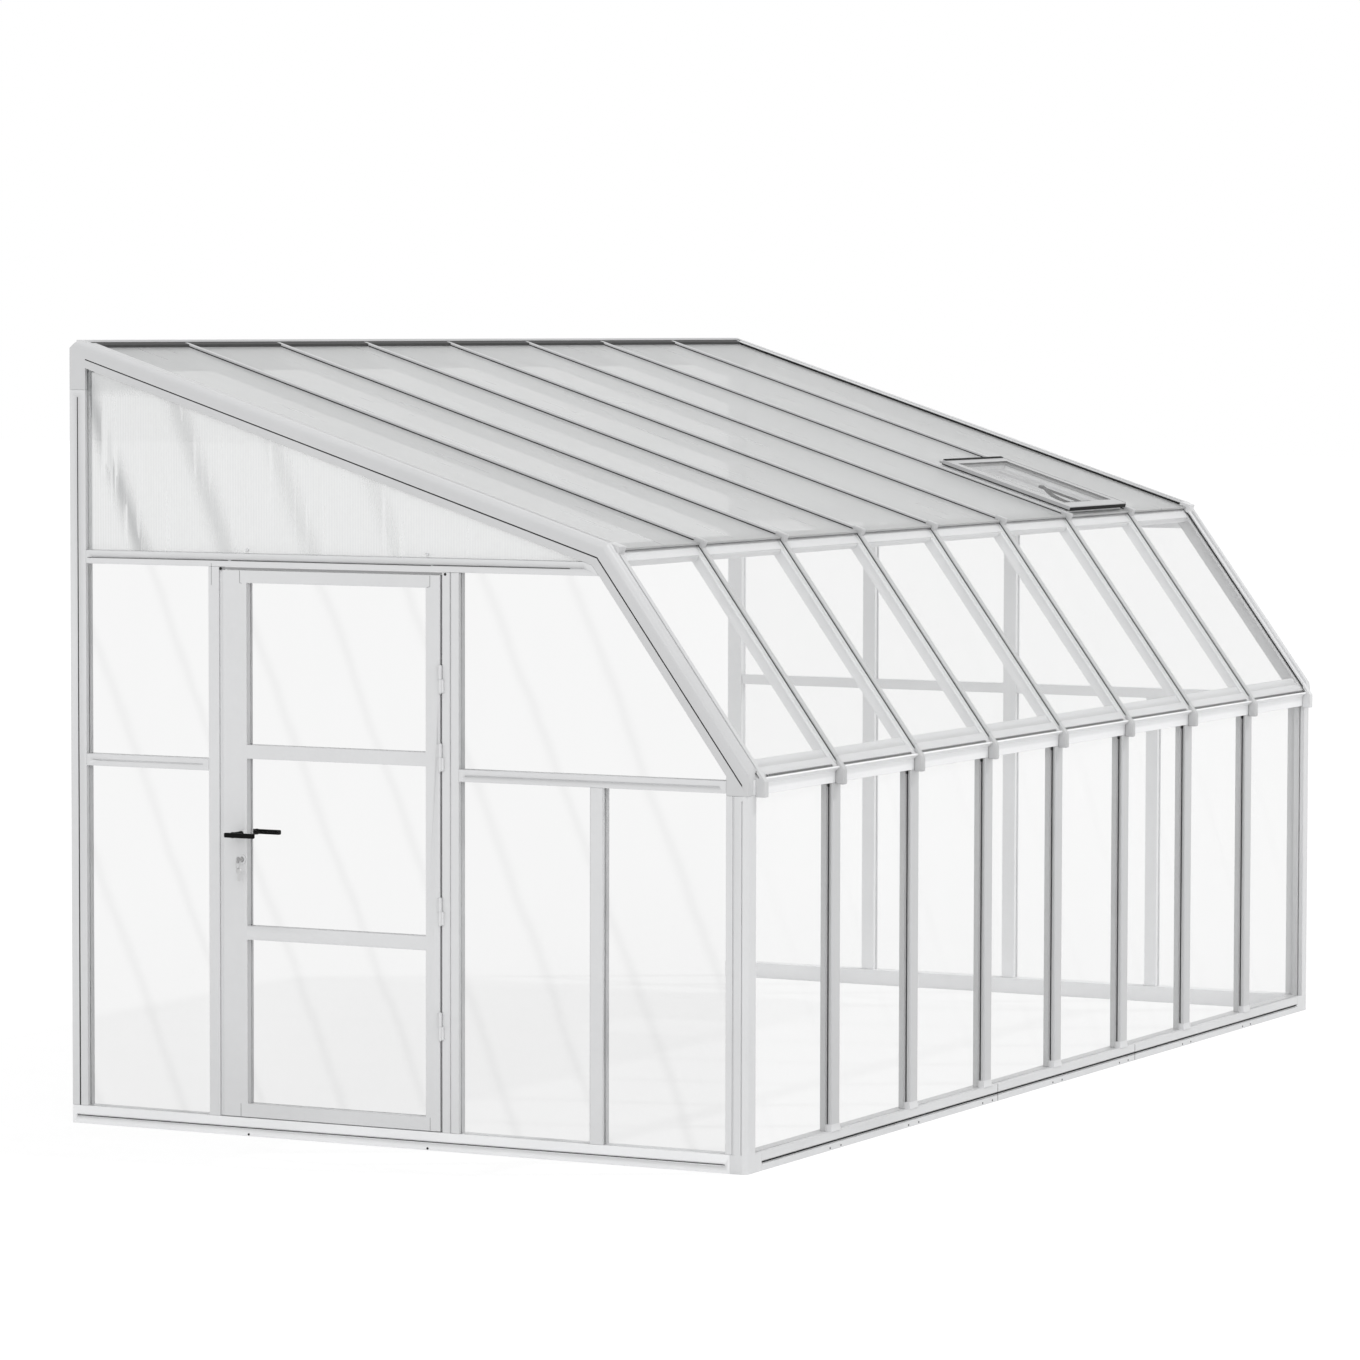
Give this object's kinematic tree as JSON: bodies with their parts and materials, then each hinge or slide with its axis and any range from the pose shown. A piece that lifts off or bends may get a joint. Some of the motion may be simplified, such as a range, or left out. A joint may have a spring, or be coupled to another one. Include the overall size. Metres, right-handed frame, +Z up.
{
  "type": "lean-to greenhouse",
  "caption": "White-framed lean-to greenhouse with a bent roof line, clear walls, twin-wall roof, hinged gable door with lever and lock, and a hinged roof vent on a stay.",
  "frame": {"origin": "middle of the footprint at floor level, with the outer door lever counted in", "axes": "+X along the house wall away from the door gable, +Y towards the house wall, +Z up"},
  "size_m": [5.039, 2.581, 2.6441],
  "materials": {
    "white_resin": "smooth white resin extrusion, slightly glossy",
    "clear_acrylic": "clear flat acrylic pane",
    "twin_wall_sheet": "translucent twin-wall sheet with fine lengthwise ribs",
    "black_handle": "satin black coated metal",
    "steel": "plain brushed steel",
    "black_rubber": "matt black rubber strip"
  },
  "bodies": {
    "frame": {"base_front_near": "white_resin", "base_front_middle": "white_resin", "base_front_far": "white_resin", "base_near_end": "white_resin", "base_far_end": "white_resin", "wall_post_near": "white_resin", "wall_post_far": "white_resin", "corner_post_near": "white_resin", "corner_post_far": "white_resin", "front_post_1": "white_resin", "front_post_2": "white_resin", "front_post_3": "white_resin", "front_post_4": "white_resin", "front_post_5": "white_resin", "front_post_6": "white_resin", "front_post_7": "white_resin", "door_post_lock_side": "white_resin", "door_post_hinge_side": "white_resin", "short_post_near": "white_resin", "far_post_1": "white_resin", "far_post_2": "white_resin", "far_short_post": "white_resin", "crossbar_near": "white_resin", "crossbar_far": "white_resin", "mid_rail_near_wall_side": "white_resin", "mid_rail_near_front": "white_resin", "mid_rail_far": "white_resin", "eave_rail": "white_resin", "knee_rail": "white_resin", "ridge_rail": "white_resin", "rafter_1": "white_resin", "rafter_2": "white_resin", "rafter_3": "white_resin", "rafter_4": "white_resin", "rafter_5": "white_resin", "rafter_6": "white_resin", "rafter_7": "white_resin", "verge_bar_near": "white_resin", "verge_bar_far": "white_resin", "vent_curb": "white_resin", "front_panes": "clear_acrylic", "slant_panes": "clear_acrylic", "near_panes_wall_side": "clear_acrylic", "near_panes_front": "clear_acrylic", "far_panes": "clear_acrylic", "roof_sheets": "twin_wall_sheet", "gable_sheet_near": "twin_wall_sheet", "gable_sheet_far": "twin_wall_sheet", "ridge_seal": "black_rubber"},
    "door": {"door_frame": "white_resin", "door_pane": "clear_acrylic"},
    "handle": {"outer_handle": "black_handle", "inner_handle": "black_handle"},
    "latch": {"latch_bolt": "steel"},
    "deadbolt_body": {"deadbolt": "steel"},
    "key_plug": {"lock_cylinder": "steel", "key": "steel"},
    "vent_lid": {"vent_frame": "white_resin", "vent_pane": "twin_wall_sheet"},
    "stay": {"vent_stay": "black_handle"}
  },
  "joints": [
    {"name": "door_hinge", "type": "hinge", "parent": "frame", "child": "door", "pos_m": [-2.4535, -0.1425, 0], "axis": [0, 0, 1], "range_deg": [0, 110]},
    {"name": "handle_turn", "type": "hinge", "parent": "door", "child": "handle", "pos_m": [-2.4475, 0.6185, 1.009], "axis": [1, 0, 0], "range_deg": [0, 45], "stiffness_Nm_per_rad": 0.6, "springref_deg": -11.46},
    {"name": "latch_slide", "type": "slide", "parent": "door", "child": "latch", "axis": [0, -1, 0], "range_m": [0, 0.011]},
    {"name": "key_turn", "type": "hinge", "parent": "door", "child": "key_plug", "pos_m": [-2.4475, 0.6175, 0.924], "axis": [1, 0, 0], "range_deg": [0, 90]},
    {"name": "deadbolt_slide", "type": "slide", "parent": "door", "child": "deadbolt_body", "axis": [0, 1, 0], "range_m": [0, 0.022]},
    {"name": "vent_hinge", "type": "hinge", "parent": "frame", "child": "vent_lid", "pos_m": [1.561, -0.21287, 2.17602], "axis": [-1, 0, 0], "range_deg": [0, 45]},
    {"name": "stay_hinge", "type": "hinge", "parent": "vent_lid", "child": "stay", "pos_m": [1.561, -0.6997, 2.01742], "axis": [-1, 0, 0], "range_deg": [0, 67.5]}
  ],
  "couplings": [
    {"joint": "latch_slide", "follows": "handle_turn", "m_per_rad": 0.014},
    {"joint": "deadbolt_slide", "follows": "key_turn", "m_per_rad": 0.014},
    {"joint": "stay_hinge", "follows": "vent_hinge", "ratio": 1.5}
  ]
}
